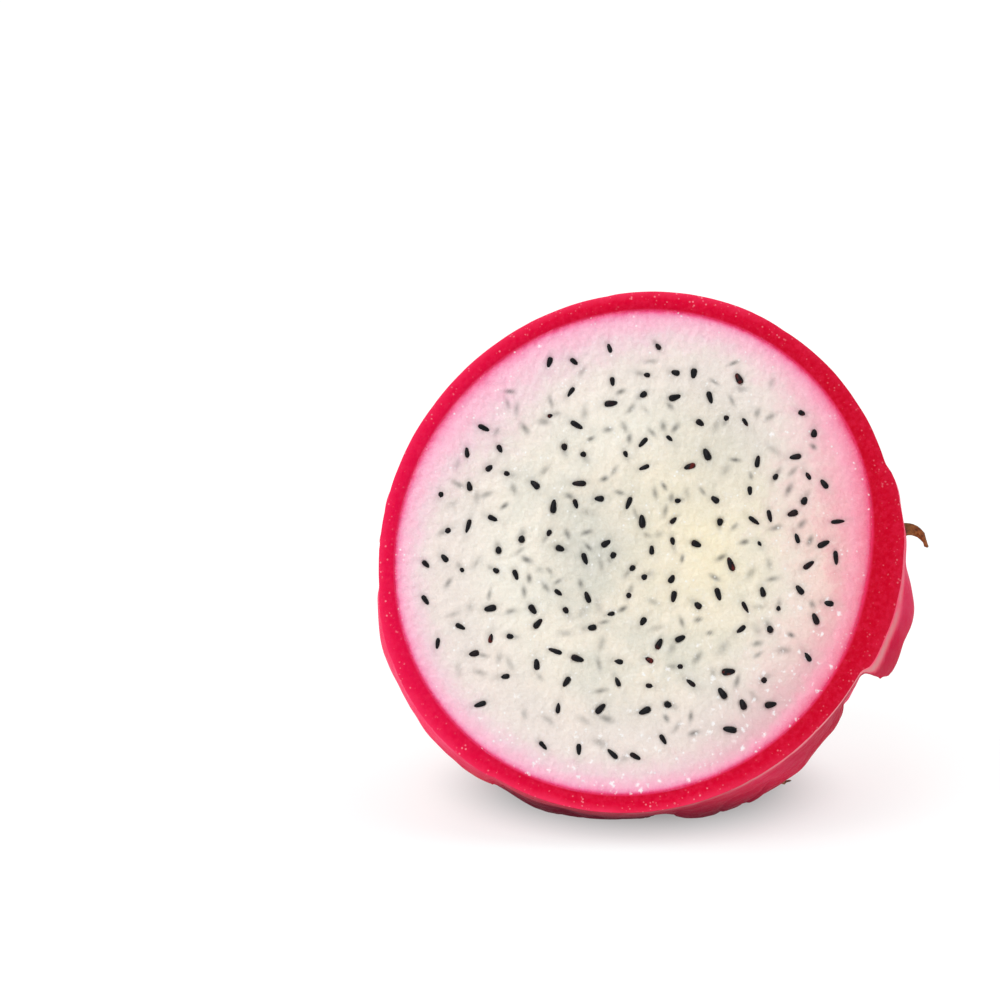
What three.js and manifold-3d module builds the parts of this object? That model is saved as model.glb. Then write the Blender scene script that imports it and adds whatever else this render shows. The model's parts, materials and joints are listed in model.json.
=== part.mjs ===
// Half of a dragon fruit, cut straight across and lying on its side with the cut face leaning back.
// Two solids, which part as the real ones do when it is peeled: the rind, with its leafy scales, the rim
// that the knife left and the navel at the blossom end, and the flesh, which fills the rind and ends in the
// flat cut face. The fruit is modelled about its own axis: +Y runs from the cut face back to the blossom
// end, +X is to the right and +Z up the face. A turned group then lays it on the ground, with the origin at
// its resting spot.
import * as THREE from "three";
import { mergeVertices } from "three/addons/utils/BufferGeometryUtils.js";
import Module from "manifold-3d";

const wasm = await Module();
wasm.setup();

// Driving dimensions, in millimetres and degrees.
const FACE_RADIUS = 44; // mean radius of the cut face, rind included
const FACE_STRETCH = 1.3; // how far its long diagonal stands out from that radius, and its short one falls in
const FACE_LONG_DEG = 55; // where the long diagonal lies, from +X towards +Z
const WIDEST_BEHIND = 7; // the fruit is widest this far behind the cut
const END_BEHIND_WIDEST = 54; // and ends this far behind its widest point
const BLUNTNESS = 0.9; // under 1 for an end blunter than an ellipse
const RIND = 2.8; // thickness of the rind where it is thinnest
const RIND_GROWTH = 0.8; // how much thicker it is on its thick side
const RIND_THICK_DEG = 15; // where its thick side lies
const ROOT_SWELL = { deg: -6, extra: 0.9, spread: 16 }; // it also swells inwards under the first scale's root
const NAVEL = { radius: 8, depth: 4, bowlRadius: 4.4, bowlDepth: 2.8 }; // the hollow at the blossom end
const LEAN_DEG = 20; // the cut face leans back this far from upright
const FLAT_DEPTH = 0.9; // how much of the belly is pressed flat by the fruit's own weight
const PEEL_GAP = 0.3; // between the flesh and the rind

// The scales stand in one spiral from the cut to the blossom end. Each pair is [nearest the cut, at the end].
const SCALE_COUNT = 18;
const SCALE_TURN_DEG = -137.5; // from each scale to the next
const FIRST_SCALE_DEG = -6;
const SCALE_BASE = [-9, 50]; // how far behind the cut a scale starts: the knife went through the first few
const SCALE_LENGTH = [36, 28];
const SCALE_HALF_WIDTH = [17.5, 14];
const SCALE_HUG_DEG = [40, 6]; // how far a scale bends in with the fruit
const SCALE_CURL_DEG = [62, 30]; // how far its tip turns out again
const SCALE_DRIFT_DEG = 15; // how far its tip leans round the fruit
const SCALE_THICKNESS = 2.4; // at its thickest
const TIP_THICKNESS = 1;
const TIP_HALF_WIDTH = 0.6;
const SCALE_TAPER = 3; // over 1 for broad shoulders and a short point
const SCALE_NECK = { narrowing: 0.85, share: 0.3 }; // its root is narrower, over this share of its length
const EDGE_THINNING = 0.7; // how much thinner it is at its side edges
const ROOT_SINK = 1.6; // its root lies this far under the skin
const ROOT_SHARE = 0.45; // the share of its length that is grown to the skin
// The first scale stands out further along its lower side, over these shares of its length and half width.
const FIRST_SCALE_LIFT = { height: 3.2, rises: [0.22, 0.45], falls: [0.6, 0.9], side: [-0.18, 0.4] };

const SEGMENTS = 48; // round the fruit
const RINGS = 11; // from the cut to the end
const SCALE_STEPS = 8; // along a scale
const SCALE_SPANS = 6; // across it

const HOLLOW_PAST_CUT = 2; // the hollow for the flesh is cut from this far in front of the cut face
const BLOCK = 200; // side of the blocks that trim the fruit
const SMALL_ANGLE = 1e-3;
const AXIS_RADIUS = 1e-6; // points nearer the axis than this are on it
const MERGE = 1e-3; // corners nearer than this are one

const rad = THREE.MathUtils.degToRad;
const mix = THREE.MathUtils.lerp;
const ease = THREE.MathUtils.smoothstep;

// Shape of the fruit ------------------------------------------------------------------------------

const cutAngle = -Math.asin(WIDEST_BEHIND / END_BEHIND_WIDEST); // of the cut, round the long section
const widest = FACE_RADIUS / Math.cos(cutAngle) ** BLUNTNESS;

// The long section at an angle round it: distance from the axis, and distance behind the cut.
function section(angle) {
  return {
    r: widest * Math.max(Math.cos(angle), 0) ** BLUNTNESS,
    y: WIDEST_BEHIND + END_BEHIND_WIDEST * Math.sin(angle),
  };
}

// How far the skin is from round at an angle about the axis. It fades out towards the blossom end.
function stretch(about, y) {
  const fade = 1 - ease(y, 0, WIDEST_BEHIND + END_BEHIND_WIDEST);
  return 1 + (fade * FACE_STRETCH * Math.cos(2 * (about - rad(FACE_LONG_DEG)))) / FACE_RADIUS;
}

function rindThickness(about) {
  const turn = about - rad(ROOT_SWELL.deg);
  const away = Math.atan2(Math.sin(turn), Math.cos(turn)) / rad(ROOT_SWELL.spread);
  const swell = ROOT_SWELL.extra * Math.exp((-away * away) / 2);
  return RIND + (RIND_GROWTH * (1 + Math.cos(about - rad(RIND_THICK_DEG)))) / 2 + swell;
}

// Solids ------------------------------------------------------------------------------------------

// A closed geometry as a solid, with shared corners merged and collapsed triangles dropped.
function solid(geometry) {
  const bare = geometry.clone();
  bare.deleteAttribute("normal");
  bare.deleteAttribute("uv");
  const merged = mergeVertices(bare, MERGE);
  const index = merged.index.array;
  const triVerts = [];
  for (let i = 0; i < index.length; i += 3) {
    const [a, b, c] = index.slice(i, i + 3);
    if (a !== b && b !== c && a !== c) triVerts.push(a, b, c);
  }
  const mesh = new wasm.Mesh({
    numProp: 3,
    vertProperties: merged.attributes.position.array,
    triVerts: new Uint32Array(triVerts),
  });
  return new wasm.Manifold(mesh);
}

function geometryOf(manifold) {
  const mesh = manifold.getMesh();
  return new THREE.BufferGeometry()
    .setAttribute("position", new THREE.BufferAttribute(new Float32Array(mesh.vertProperties), 3))
    .setIndex(new THREE.BufferAttribute(new Uint32Array(mesh.triVerts), 1));
}

// Moves each corner of a geometry to where place(x, y, z) says.
function shaped(geometry, place) {
  const at = geometry.attributes.position;
  for (let i = 0; i < at.count; i++) at.setXYZ(i, ...place(at.getX(i), at.getY(i), at.getZ(i)));
  return geometry;
}

// The skin's profile from the middle of the cut out to the rim, and back to the middle of the navel.
function skinProfile() {
  const lipAngle = Math.acos((NAVEL.radius / widest) ** (1 / BLUNTNESS));
  const points = [new THREE.Vector2(0, 0)];
  for (let i = 0; i <= RINGS; i++) {
    const { r, y } = section(mix(cutAngle, lipAngle, i / RINGS));
    points.push(new THREE.Vector2(r, y));
  }
  const lip = points.at(-1);
  points.push(new THREE.Vector2(NAVEL.bowlRadius, lip.y - NAVEL.bowlDepth));
  points.push(new THREE.Vector2(0, lip.y - NAVEL.depth));
  return points;
}

function skinSolid() {
  const place = (x, y, z) => {
    const k = stretch(Math.atan2(z, x), y);
    return [x * k, y, z * k];
  };
  return solid(shaped(new THREE.LatheGeometry(skinProfile(), SEGMENTS), place));
}

// The flesh, which ends in the cut face; or, with a margin and a run past the cut, the hollow it lies in.
function fleshSolid(margin = 0, pastCut = 0) {
  const points = [new THREE.Vector2(0, -pastCut)];
  if (pastCut > 0) points.push(new THREE.Vector2(FACE_RADIUS, -pastCut));
  for (let i = 0; i <= RINGS; i++) {
    const { r, y } = section(mix(cutAngle, Math.PI / 2, i / RINGS));
    points.push(new THREE.Vector2(r, y));
  }
  const shorter = 1 - (RIND + NAVEL.depth - margin) / (WIDEST_BEHIND + END_BEHIND_WIDEST);
  const place = (x, y, z) => {
    const r = Math.hypot(x, z);
    const behind = y > 0 ? y * shorter : y;
    if (r < AXIS_RADIUS) return [0, behind, 0];
    const about = Math.atan2(z, x);
    const wall = rindThickness(about) - margin;
    const inner = Math.max(r * stretch(about, y) - wall, r / 2); // never across the axis
    return [(x / r) * inner, behind, (z / r) * inner];
  };
  return solid(shaped(new THREE.LatheGeometry(points, SEGMENTS), place));
}

// A scale's middle line in a plane through the axis: it leaves the skin along it, bends in with the fruit,
// and turns out towards its tip. `inward` is its slope towards the axis.
function scaleLine(base, length, hug, curl) {
  const start = Math.asin((base - WIDEST_BEHIND) / END_BEHIND_WIDEST);
  let { r, y } = section(start);
  const next = section(start + SMALL_ANGLE);
  let inward = Math.atan2(r - next.r, next.y - y);
  const line = [{ r, y, inward }];
  for (let i = 1; i <= SCALE_STEPS; i++) {
    const u = (i - 0.5) / SCALE_STEPS;
    inward += (hug - 4 * curl * u ** 3) / SCALE_STEPS;
    r -= (Math.sin(inward) * length) / SCALE_STEPS;
    y += (Math.cos(inward) * length) / SCALE_STEPS;
    line.push({ r, y, inward });
  }
  return line;
}

function firstScaleLift(u, v) {
  const { height, rises, falls, side } = FIRST_SCALE_LIFT;
  return height * ease(u, ...rises) * (1 - ease(u, ...falls)) * ease(-v, ...side);
}

function scaleSolid(number) {
  const along = ([first, last]) => mix(first, last, number / (SCALE_COUNT - 1));
  const hug = rad(along(SCALE_HUG_DEG));
  const line = scaleLine(along(SCALE_BASE), along(SCALE_LENGTH), hug, rad(along(SCALE_CURL_DEG)));
  const halfWidth = along(SCALE_HALF_WIDTH);
  const about = rad(FIRST_SCALE_DEG + number * SCALE_TURN_DEG);
  const place = (x, y, z) => {
    const u = x + 0.5; // from the root to the tip
    const v = 2 * y; // from edge to edge
    const { r, y: behind, inward } = line[Math.round(u * SCALE_STEPS)];
    const neck = mix(SCALE_NECK.narrowing, 1, ease(u, 0, SCALE_NECK.share));
    const width = TIP_HALF_WIDTH + halfWidth * neck * (1 - u ** SCALE_TAPER);
    const full = mix(SCALE_THICKNESS, TIP_THICKNESS, u) * (1 - EDGE_THINNING * Math.abs(v) ** 3);
    const outer = full * ease(u, 0, ROOT_SHARE) + (number === 0 ? firstScaleLift(u, v) : 0);
    const rise = z > 0 ? outer : u < ROOT_SHARE ? -ROOT_SINK : 0;
    const turned = about + rad(SCALE_DRIFT_DEG) * u * u + (v * width) / Math.max(r, halfWidth);
    const out = r * stretch(turned, behind) + rise * Math.cos(inward);
    return [out * Math.cos(turned), behind + rise * Math.sin(inward), out * Math.sin(turned)];
  };
  return solid(shaped(new THREE.BoxGeometry(1, 1, 1, SCALE_STEPS, SCALE_SPANS, 1), place));
}

// Assembly ----------------------------------------------------------------------------------------

function lowestPoint(manifold, matrix) {
  const at = geometryOf(manifold).applyMatrix4(matrix).attributes.position;
  let lowest = new THREE.Vector3(0, 0, Infinity);
  for (let i = 0; i < at.count; i++) {
    const point = new THREE.Vector3().fromBufferAttribute(at, i);
    if (point.z < lowest.z) lowest = point;
  }
  return lowest;
}

// Leans the fruit back, and brings its belly down until FLAT_DEPTH of it is pressed flat over the origin.
function laidOnTheGround(group, skin) {
  group.rotation.x = -rad(LEAN_DEG);
  group.updateMatrixWorld(true);
  const belly = lowestPoint(skin, group.matrixWorld);
  group.position.set(0, -belly.y, -belly.z - FLAT_DEPTH);
  group.updateMatrixWorld(true);
  return group;
}

// The skin with its scales, trimmed by the knife and by the ground, and hollowed for the flesh.
function rindSolid(skin, toFruit) {
  const block = () => new THREE.BoxGeometry(BLOCK, BLOCK, BLOCK);
  const cutAway = solid(block().translate(0, -BLOCK / 2, 0));
  const ground = solid(block().translate(0, 0, -BLOCK / 2).applyMatrix4(toFruit));
  let grown = skin;
  for (let number = 0; number < SCALE_COUNT; number++) grown = grown.add(scaleSolid(number));
  const hollow = fleshSolid(PEEL_GAP, HOLLOW_PAST_CUT);
  const trimmed = grown.subtract(cutAway).subtract(ground).subtract(hollow);
  // Air shut in where scales overlap is filled, by keeping only the outermost surface.
  return trimmed.decompose().reduce((best, piece) => (piece.volume() > best.volume() ? piece : best));
}

function named(name, manifold, look) {
  const mesh = new THREE.Mesh(geometryOf(manifold), new THREE.MeshStandardMaterial(look));
  mesh.name = name;
  return mesh;
}

const skin = skinSolid();
const fruit = laidOnTheGround(new THREE.Group(), skin);
const rind = rindSolid(skin, fruit.matrixWorld.clone().invert());
fruit.add(named("rind", rind, { color: 0xe8324f, roughness: 0.45, metalness: 0 }));
fruit.add(named("flesh", fleshSolid(), { color: 0xebe8dc, roughness: 0.35, metalness: 0 }));

const part = new THREE.Group();
part.add(fruit);
export default part;
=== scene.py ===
import json
import math
import random

import bmesh
import bpy
import numpy as np
from bpy.props import FloatProperty, FloatVectorProperty, IntProperty, PointerProperty
from mathutils import Matrix, Vector, kdtree, noise


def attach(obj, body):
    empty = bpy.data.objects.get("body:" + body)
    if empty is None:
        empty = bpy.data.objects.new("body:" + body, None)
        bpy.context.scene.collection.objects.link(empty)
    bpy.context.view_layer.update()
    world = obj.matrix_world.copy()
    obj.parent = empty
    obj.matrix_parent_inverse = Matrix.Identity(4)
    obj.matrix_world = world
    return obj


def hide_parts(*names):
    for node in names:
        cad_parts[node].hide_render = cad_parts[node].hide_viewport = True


bl_info = {
    "name": "Dragon fruit half",
    "version": (1, 0, 0),
    "blender": (4, 5, 0),
    "location": "3D View > Sidebar > Dragon fruit",
    "description": "Half a dragon fruit, cut across: rind with scales, dried tips, flesh and seeds",
    "category": "Object",
}

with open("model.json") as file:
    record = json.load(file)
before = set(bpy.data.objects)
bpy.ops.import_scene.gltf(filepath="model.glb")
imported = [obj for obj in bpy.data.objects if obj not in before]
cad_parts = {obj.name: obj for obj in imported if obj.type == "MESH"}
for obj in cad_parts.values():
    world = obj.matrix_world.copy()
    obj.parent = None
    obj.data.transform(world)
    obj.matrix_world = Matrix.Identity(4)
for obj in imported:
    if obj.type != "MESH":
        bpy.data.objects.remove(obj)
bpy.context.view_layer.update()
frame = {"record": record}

MM = 0.001

# The fruit is modelled about its own axis, in metres: +Y runs from the cut face back to the blossom end,
# +X is to the right and +Z up the face. fruit_to_row() lays it down where the CAD part lies.

# Shape of the fruit, as the CAD part has it. Angles about its axis run from +X towards +Z.
WIDEST_BEHIND = 7 * MM  # from the cut to the widest place
END_BEHIND_WIDEST = 54 * MM
BLUNTNESS = 0.9  # of its end: 1 would be an ellipse, less is blunter
FACE_LONG = math.radians(55)  # which way the cut face is longest
RIND_GROWTH = 0.8 * MM  # how much more rind there is on the thick side
RIND_THICK = math.radians(15)  # where that side is
ROOT_SWELL = {"at": math.radians(-6), "extra": 0.9 * MM, "spread": math.radians(16)}  # the first scale's root
NAVEL = {"radius": 8 * MM, "depth": 4 * MM, "bowl_radius": 4.4 * MM, "bowl_depth": 2.8 * MM}

# The spiral of scales. Each pair is (nearest the cut, at the blossom end).
SCALE_TURN = math.radians(-137.5)  # from each scale to the next
FIRST_SCALE = math.radians(-6)
SCALE_BASE = (-9 * MM, 50 * MM)  # how far behind the cut its root lies
SCALE_HUG = (math.radians(40), math.radians(6))  # how far it bends in along the fruit
SCALE_CURL = (math.radians(62), math.radians(30))  # how far its tip bends out again
SCALE_DRIFT = math.radians(15)  # how far its tip swings round the fruit
SCALE_THICKNESS = 2.4 * MM
SCALE_TIP_THICKNESS = 1.5 * MM
SCALE_TIP_HALF_WIDTH = 0.8 * MM
SCALE_EDGE_LIFT = 1.1 * MM
SCALE_FOLD = 0.8 * MM
SCALE_WAVE = 0.07  # of its edges, as a share of its width
SCALE_PUFF = (0.2, 1.5)  # mm, how far its middle bulges
ROOT_SHARE = 0.45  # of its length, over which it rises out of the skin
ROOT_SINK = 1.6 * MM  # how far under the skin it starts
# The first scale stands out further along its lower side, over these shares of its length and half width.
FIRST_SCALE_LIFT = {"height": 3.2 * MM, "rises": (0.22, 0.45), "falls": (0.6, 0.9), "side": (-0.18, 0.4)}

SEED_OF_CHANCE = 7


def mix(a, b, t):
    return a + (b - a) * t


def ease(x, low, high):
    """0 below low, 1 above high, and smooth between. Works on numbers and arrays."""
    t = np.clip((x - low) / (high - low), 0, 1)
    return t * t * (3 - 2 * t)


def fruit_to_row():
    """From the fruit's own frame to the part's, by where the CAD part says its cut face is."""
    mount = next(m for m in frame["record"]["mounts"] if m["name"] == "cut_face")
    back = -Vector(mount["axis"]).normalized()
    right = Vector((1, 0, 0))
    turn = Matrix((right, back, right.cross(back))).transposed().to_4x4()
    return Matrix.Translation(mount["pos_m"]) @ turn


# Sizes and colours -----------------------------------------------------------------------------------


def length_setting(name, description, default):
    return FloatProperty(name=name, description=description, default=default, unit="LENGTH", precision=4)


def colour_setting(name, description, default):
    return FloatVectorProperty(
        name=name, description=description, default=default, subtype="COLOR", size=3, min=0, max=1
    )


class FruitSizes(bpy.types.PropertyGroup):
    """Sizes of the fruit and its pieces."""

    face_radius: length_setting("Face radius", "Mean radius of the cut face, rind included", 44 * MM)
    face_stretch: length_setting("Face stretch", "How far its long diagonal stands out", 1.3 * MM)
    rind: length_setting("Rind", "Thickness of the rind where it is thinnest", 2.8 * MM)
    scale_count: IntProperty(name="Scales", description="How many scales the rind has", default=18, min=1)
    scale_length: length_setting("Scale length", "Length of the scales nearest the cut", 36 * MM)
    last_scale_length: length_setting("Last scale length", "Length at the blossom end", 28 * MM)
    scale_half_width: length_setting("Scale half width", "Half width nearest the cut", 17.5 * MM)
    last_half_width: length_setting("Last half width", "Half width at the blossom end", 14 * MM)
    seed_length: length_setting("Seed length", "Length of a seed", 2.3 * MM)
    seed_width: length_setting("Seed width", "Width of a seed", 0.98 * MM)
    seeds: IntProperty(name="Seeds", description="Seeds that lie open in the cut", default=142, min=0)
    sunken_seeds: IntProperty(name="Sunken seeds", description="Seeds just under the cut", default=130, min=0)


class FruitColours(bpy.types.PropertyGroup):
    """Colours, linear."""

    skin: colour_setting("Skin", "Pink of the rind outside", (0.96, 0.028, 0.115))
    skin_pale: colour_setting("Pale skin", "Its lighter patches", (0.98, 0.085, 0.20))
    # Crimson of the skin's veins, and also the painted shade in its creases
    veins_and_crease_shade: colour_setting("Deep skin", "Crimson in its creases", (0.52, 0.006, 0.04))
    scale_edge: colour_setting("Scale edge", "Coral of the scales' edges", (0.98, 0.20, 0.105))
    scale_yellow: colour_setting("Scale yellow", "Orange yellow of their margins", (0.90, 0.42, 0.12))
    scale_green: colour_setting("Scale green", "Yellow green near the scales' tips", (0.52, 0.45, 0.06))
    dry: colour_setting("Dry", "Brown of the dried tips", (0.25, 0.09, 0.018))
    rim: colour_setting("Rim", "Crimson of the cut rind", (0.69, 0.001, 0.032))
    rim_bright: colour_setting("Bright rim", "Its outer edge", (0.87, 0.030, 0.100))
    flesh: colour_setting("Flesh", "White of the flesh", (0.855, 0.775, 0.66))
    flesh_warm: colour_setting("Warm flesh", "Cream near the middle", (0.91, 0.81, 0.60))
    flesh_pink: colour_setting("Pink flesh", "Pink where it meets the rind", (0.95, 0.46, 0.61))
    flesh_salmon: colour_setting("Salmon flesh", "The warmer pink on the right", (0.93, 0.37, 0.46))
    seed: colour_setting("Seed", "Black of the seeds", (0.006, 0.006, 0.008))
    seed_brown: colour_setting("Brown seed", "Brown of the less ripe seeds", (0.10, 0.009, 0.007))
    floor: colour_setting("Floor", "The pale floor", (0.35, 0.37, 0.37))


# Form of the fruit -----------------------------------------------------------------------------------


class Form:
    """The fruit's shape, worked out from its sizes."""

    def __init__(self, sizes):
        self.sizes = sizes
        self.cut_angle = -math.asin(WIDEST_BEHIND / END_BEHIND_WIDEST)
        self.widest = sizes.face_radius / math.cos(self.cut_angle) ** BLUNTNESS
        self.lip_angle = math.acos((NAVEL["radius"] / self.widest) ** (1 / BLUNTNESS))

    def section(self, angle):
        """The long section at an angle round it: distance from the axis, distance behind the cut."""
        r = self.widest * np.maximum(np.cos(angle), 0) ** BLUNTNESS
        return r, WIDEST_BEHIND + END_BEHIND_WIDEST * np.sin(angle)

    def stretch(self, about, y):
        """How far the skin is from round, fading out towards the blossom end."""
        fade = 1 - ease(y, 0, WIDEST_BEHIND + END_BEHIND_WIDEST)
        return 1 + fade * self.sizes.face_stretch * np.cos(2 * (about - FACE_LONG)) / self.sizes.face_radius

    def wall(self, about):
        """Thickness of the rind at an angle about the axis."""
        turn = about - ROOT_SWELL["at"]
        away = np.arctan2(np.sin(turn), np.cos(turn)) / ROOT_SWELL["spread"]
        swell = ROOT_SWELL["extra"] * np.exp(-away * away / 2)
        return self.sizes.rind + RIND_GROWTH * (1 + np.cos(about - RIND_THICK)) / 2 + swell

    def flesh_radius(self, about):
        """Radius of the flesh in the cut face."""
        return self.sizes.face_radius * self.stretch(about, 0.0) - self.wall(about)

    def flesh_behind(self, about, share):
        """The flesh's outside further in, share 0 at the cut and 1 at its end: (radius, distance behind)."""
        end_angle = math.pi / 2
        r, y = self.section(mix(self.cut_angle, end_angle, share))
        shorter = 1 - (self.sizes.rind + NAVEL["depth"]) / (WIDEST_BEHIND + END_BEHIND_WIDEST)
        return np.maximum(r * self.stretch(about, y) - self.wall(about), r / 2), y * shorter


# Mesh helpers ----------------------------------------------------------------------------------------


def rows_of(data, name, width):
    """One row of numbers for each item of a mesh's data."""
    values = np.empty(len(data) * width, np.float32)
    data.foreach_get(name, values)
    return values.reshape(-1, width).astype(float)


def points_of(mesh):
    return rows_of(mesh.vertices, "co", 3)


def normals_of(mesh):
    return rows_of(mesh.vertex_normals, "vector", 3)


def attribute_of(mesh, name):
    return rows_of(mesh.attributes[name].data, "value", 1)[:, 0]


def set_points(mesh, co):
    mesh.vertices.foreach_set("co", co.astype(np.float32).ravel())
    mesh.update()


def set_attribute(mesh, name, values):
    layer = mesh.attributes.get(name) or mesh.attributes.new(name, "FLOAT", "POINT")
    layer.data.foreach_set("value", np.asarray(values, np.float32))


def lumps(points, size, octaves, shift=0.0):
    """Smooth noise of about -1 to 1 at each point, with lumps of the given size."""
    move = Vector((shift, 2 * shift, -shift))
    return np.array([noise.fractal(Vector(p / size) + move, 1.0, 2.0, octaves) for p in points])


def mesh_of(bm, name):
    """The bmesh's work as a mesh, after which the bmesh is spent."""
    mesh = bpy.data.meshes.new(name)
    bm.to_mesh(mesh)
    bm.free()
    return mesh


def add_object(name, data):
    made = bpy.data.objects.new(name, data)
    bpy.context.scene.collection.objects.link(made)
    return made


def spun(points, axis, steps):
    """A bmesh of the line through the points, turned all the way round the axis."""
    bm = bmesh.new()
    verts = [bm.verts.new(point) for point in points]
    edges = [bm.edges.new(pair) for pair in zip(verts, verts[1:])]
    bmesh.ops.spin(
        bm, geom=verts + edges, cent=(0, 0, 0), axis=axis, dvec=(0, 0, 0),
        angle=math.tau, steps=steps, use_merge=True,
    )
    bmesh.ops.remove_doubles(bm, verts=bm.verts, dist=0.01 * MM)
    bmesh.ops.recalc_face_normals(bm, faces=bm.faces)
    return bm


def side_share(about, degrees, spread):
    """1 at an angle about the axis, and fading out to both sides of it over the spread, in degrees."""
    turn = about - math.radians(degrees)
    away = np.arctan2(np.sin(turn), np.cos(turn)) / math.radians(spread)
    return np.exp(-away * away)


def piece(mesh, name, materials, slot, *nodes):
    """A finished piece: the mesh is laid where the CAD part lies, and the piece stands for its nodes."""
    mesh.transform(fruit_to_row())
    for material in materials:
        mesh.materials.append(material)
    mesh.shade_smooth()
    made = add_object(name, mesh)
    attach(made, "root")
    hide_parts(*nodes)


def press_flat(mesh, ground=0.0):
    """What would sink into the ground is pressed flat on it. The mesh is in the fruit's frame."""
    to_row = fruit_to_row()
    mesh.transform(to_row)
    co = points_of(mesh)
    co[:, 2] = np.maximum(co[:, 2], ground)
    set_points(mesh, co)
    mesh.transform(to_row.inverted())


# Material helpers ------------------------------------------------------------------------------------


def mixed(a, b, t):
    """A colour a share t of the way from a to b."""
    return tuple(mix(x, y, t) for x, y in zip(a, b))


class Look:
    """A node material in the making: each method adds a node and gives its output back.

    Patterns lie on the Object coordinates and their sizes are in metres.
    """

    def __init__(self, name):
        self.material = bpy.data.materials.new(name)
        self.material.use_nodes = True
        self.tree = self.material.node_tree
        self.shader = self.tree.nodes["Principled BSDF"]

    def put(self, socket, value):
        """Fills a socket with another node's output, a number, a colour or, by its name, an attribute."""
        if isinstance(value, str):
            value = self.node("ShaderNodeAttribute", "Fac", attribute_name=value)
        if isinstance(value, bpy.types.NodeSocket):
            self.tree.links.new(value, socket)
        elif hasattr(value, "__len__") and len(value) < len(socket.default_value):
            socket.default_value = (*value, 1.0)
        else:
            socket.default_value = value

    def node(self, kind, output=0, inputs=(), **settings):
        """Adds a node, fills its inputs and gives one of its outputs back."""
        made = self.tree.nodes.new(kind)
        for key, value in settings.items():
            setattr(made, key, value)
        for key, value in dict(inputs).items():
            self.put(made.inputs[key], value)
        return made.outputs[output]

    def place(self, scale=(1, 1, 1)):
        """The Object coordinates, scaled."""
        where = self.node("ShaderNodeTexCoord", "Object")
        return self.node("ShaderNodeMapping", 0, {"Vector": where, "Scale": scale})

    def times(self, a, b):
        return self.node("ShaderNodeMath", 0, {0: a, 1: b}, operation="MULTIPLY")

    def plus(self, a, b):
        return self.node("ShaderNodeMath", 0, {0: a, 1: b}, operation="ADD")

    def swing(self, value, by):
        """How far a noise is from its middle, 0.5, times by."""
        return self.times(self.plus(value, -0.5), by)

    def blend(self, share, a, b, most=1.0):
        """From colour a to b by a share of most. The node's colour sockets have no names of their own."""
        if most < 1:
            share = self.times(share, most)
        return self.node("ShaderNodeMix", 2, {"Factor": share, 6: a, 7: b}, data_type="RGBA")

    def fit(self, value, low, high, to_low=0.0, to_high=1.0):
        """value from low..high to to_low..to_high, smoothly and held at the ends."""
        inputs = {"Value": value, "From Min": low, "From Max": high, "To Min": to_low, "To Max": to_high}
        return self.node("ShaderNodeMapRange", 0, inputs, interpolation_type="SMOOTHSTEP")

    def noise(self, size, detail, roughness=0.5, stretch=(1, 1, 1)):
        """Noise from 0 to 1, its lumps stretched where a value of stretch is under 1."""
        inputs = {"Vector": self.place(stretch), "Scale": 1 / size, "Detail": detail, "Roughness": roughness}
        return self.node("ShaderNodeTexNoise", "Fac", inputs)

    def cells(self, size):
        """The distance to the middle of the nearest cell."""
        return self.node("ShaderNodeTexVoronoi", "Distance", {"Vector": self.place(), "Scale": 1 / size})

    def ramp(self, value, stops):
        """A colour for each value, by stops of (value, colour)."""
        made = self.tree.nodes.new("ShaderNodeValToRGB")
        ramp = made.color_ramp
        while len(ramp.elements) < len(stops):
            ramp.elements.new(0.5)
        for element, (at, colour) in zip(ramp.elements, stops):
            element.position = at
            element.color = (*colour, 1.0)
        self.put(made.inputs["Fac"], value)
        return made.outputs["Color"]

    def bump(self, height, depth, below=None):
        """Dents of this height and depth, on top of the dents below."""
        inputs = {"Height": height, "Distance": depth, "Strength": 1.0}
        if below is not None:
            inputs["Normal"] = below
        return self.node("ShaderNodeBump", 0, inputs)

    def finish(self, **inputs):
        """Fills the shader's inputs, each by its name in small letters, and gives the material back."""
        for key, value in inputs.items():
            self.put(self.shader.inputs[key.replace("_", " ").title().replace("Ior", "IOR")], value)
        return self.material


# Rind ------------------------------------------------------------------------------------------------

BODY_STEPS = 160
BODY_RINGS = 56
FRONT = -6 * MM  # the body runs this far past the cut before the knife trims it
SCALE_CUTS = 23
VOXEL = 0.75 * MM
# Where the rings of the rim's surface lie, as shares of the way across
RIM_STEPS = (0.04, 0.1, 0.2, 0.34, 0.48, 0.62, 0.76, 0.88, 0.96, 1.0)
RIM_BULGE = 0.35 * MM
WALL_STEPS = 14
LOWER_RIGHT = (-38, 36)  # where the skin shows beside the cut face: angle and spread, in degrees
# Size and height of the skin's folds, dents and creases
PUFF, DENT, CREASE = (7 * MM, 0.45 * MM), (2.8 * MM, 0.10 * MM), (10 * MM, 0.75 * MM)
# Where parts of the skin begin and end behind the cut. Each pair is where the change starts and stops.
# Painted pale reflection: a band in the skin just behind the rim, between these distances
REFLECTION_FROM, REFLECTION_TO = (0.1 * MM, 0.6 * MM), (1.2 * MM, 2.2 * MM)
SHADE_FROM, SHADE_TO = (1.2 * MM, 2.6 * MM), (18 * MM, 34 * MM)
PLAIN_TO = (24 * MM, 36 * MM)
ROUGH_FROM, FOLDS_FROM = (3 * MM, 14 * MM), (1 * MM, 16 * MM)
SCAR_FROM, SCAR_ACROSS = (46 * MM, 52 * MM), (1.5 * MM, 8.5 * MM)
# The painted shade near the ground fades out between these heights
GROUND_SHADE_UP_TO = (1 * MM, 20 * MM)  # above the ground
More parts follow.
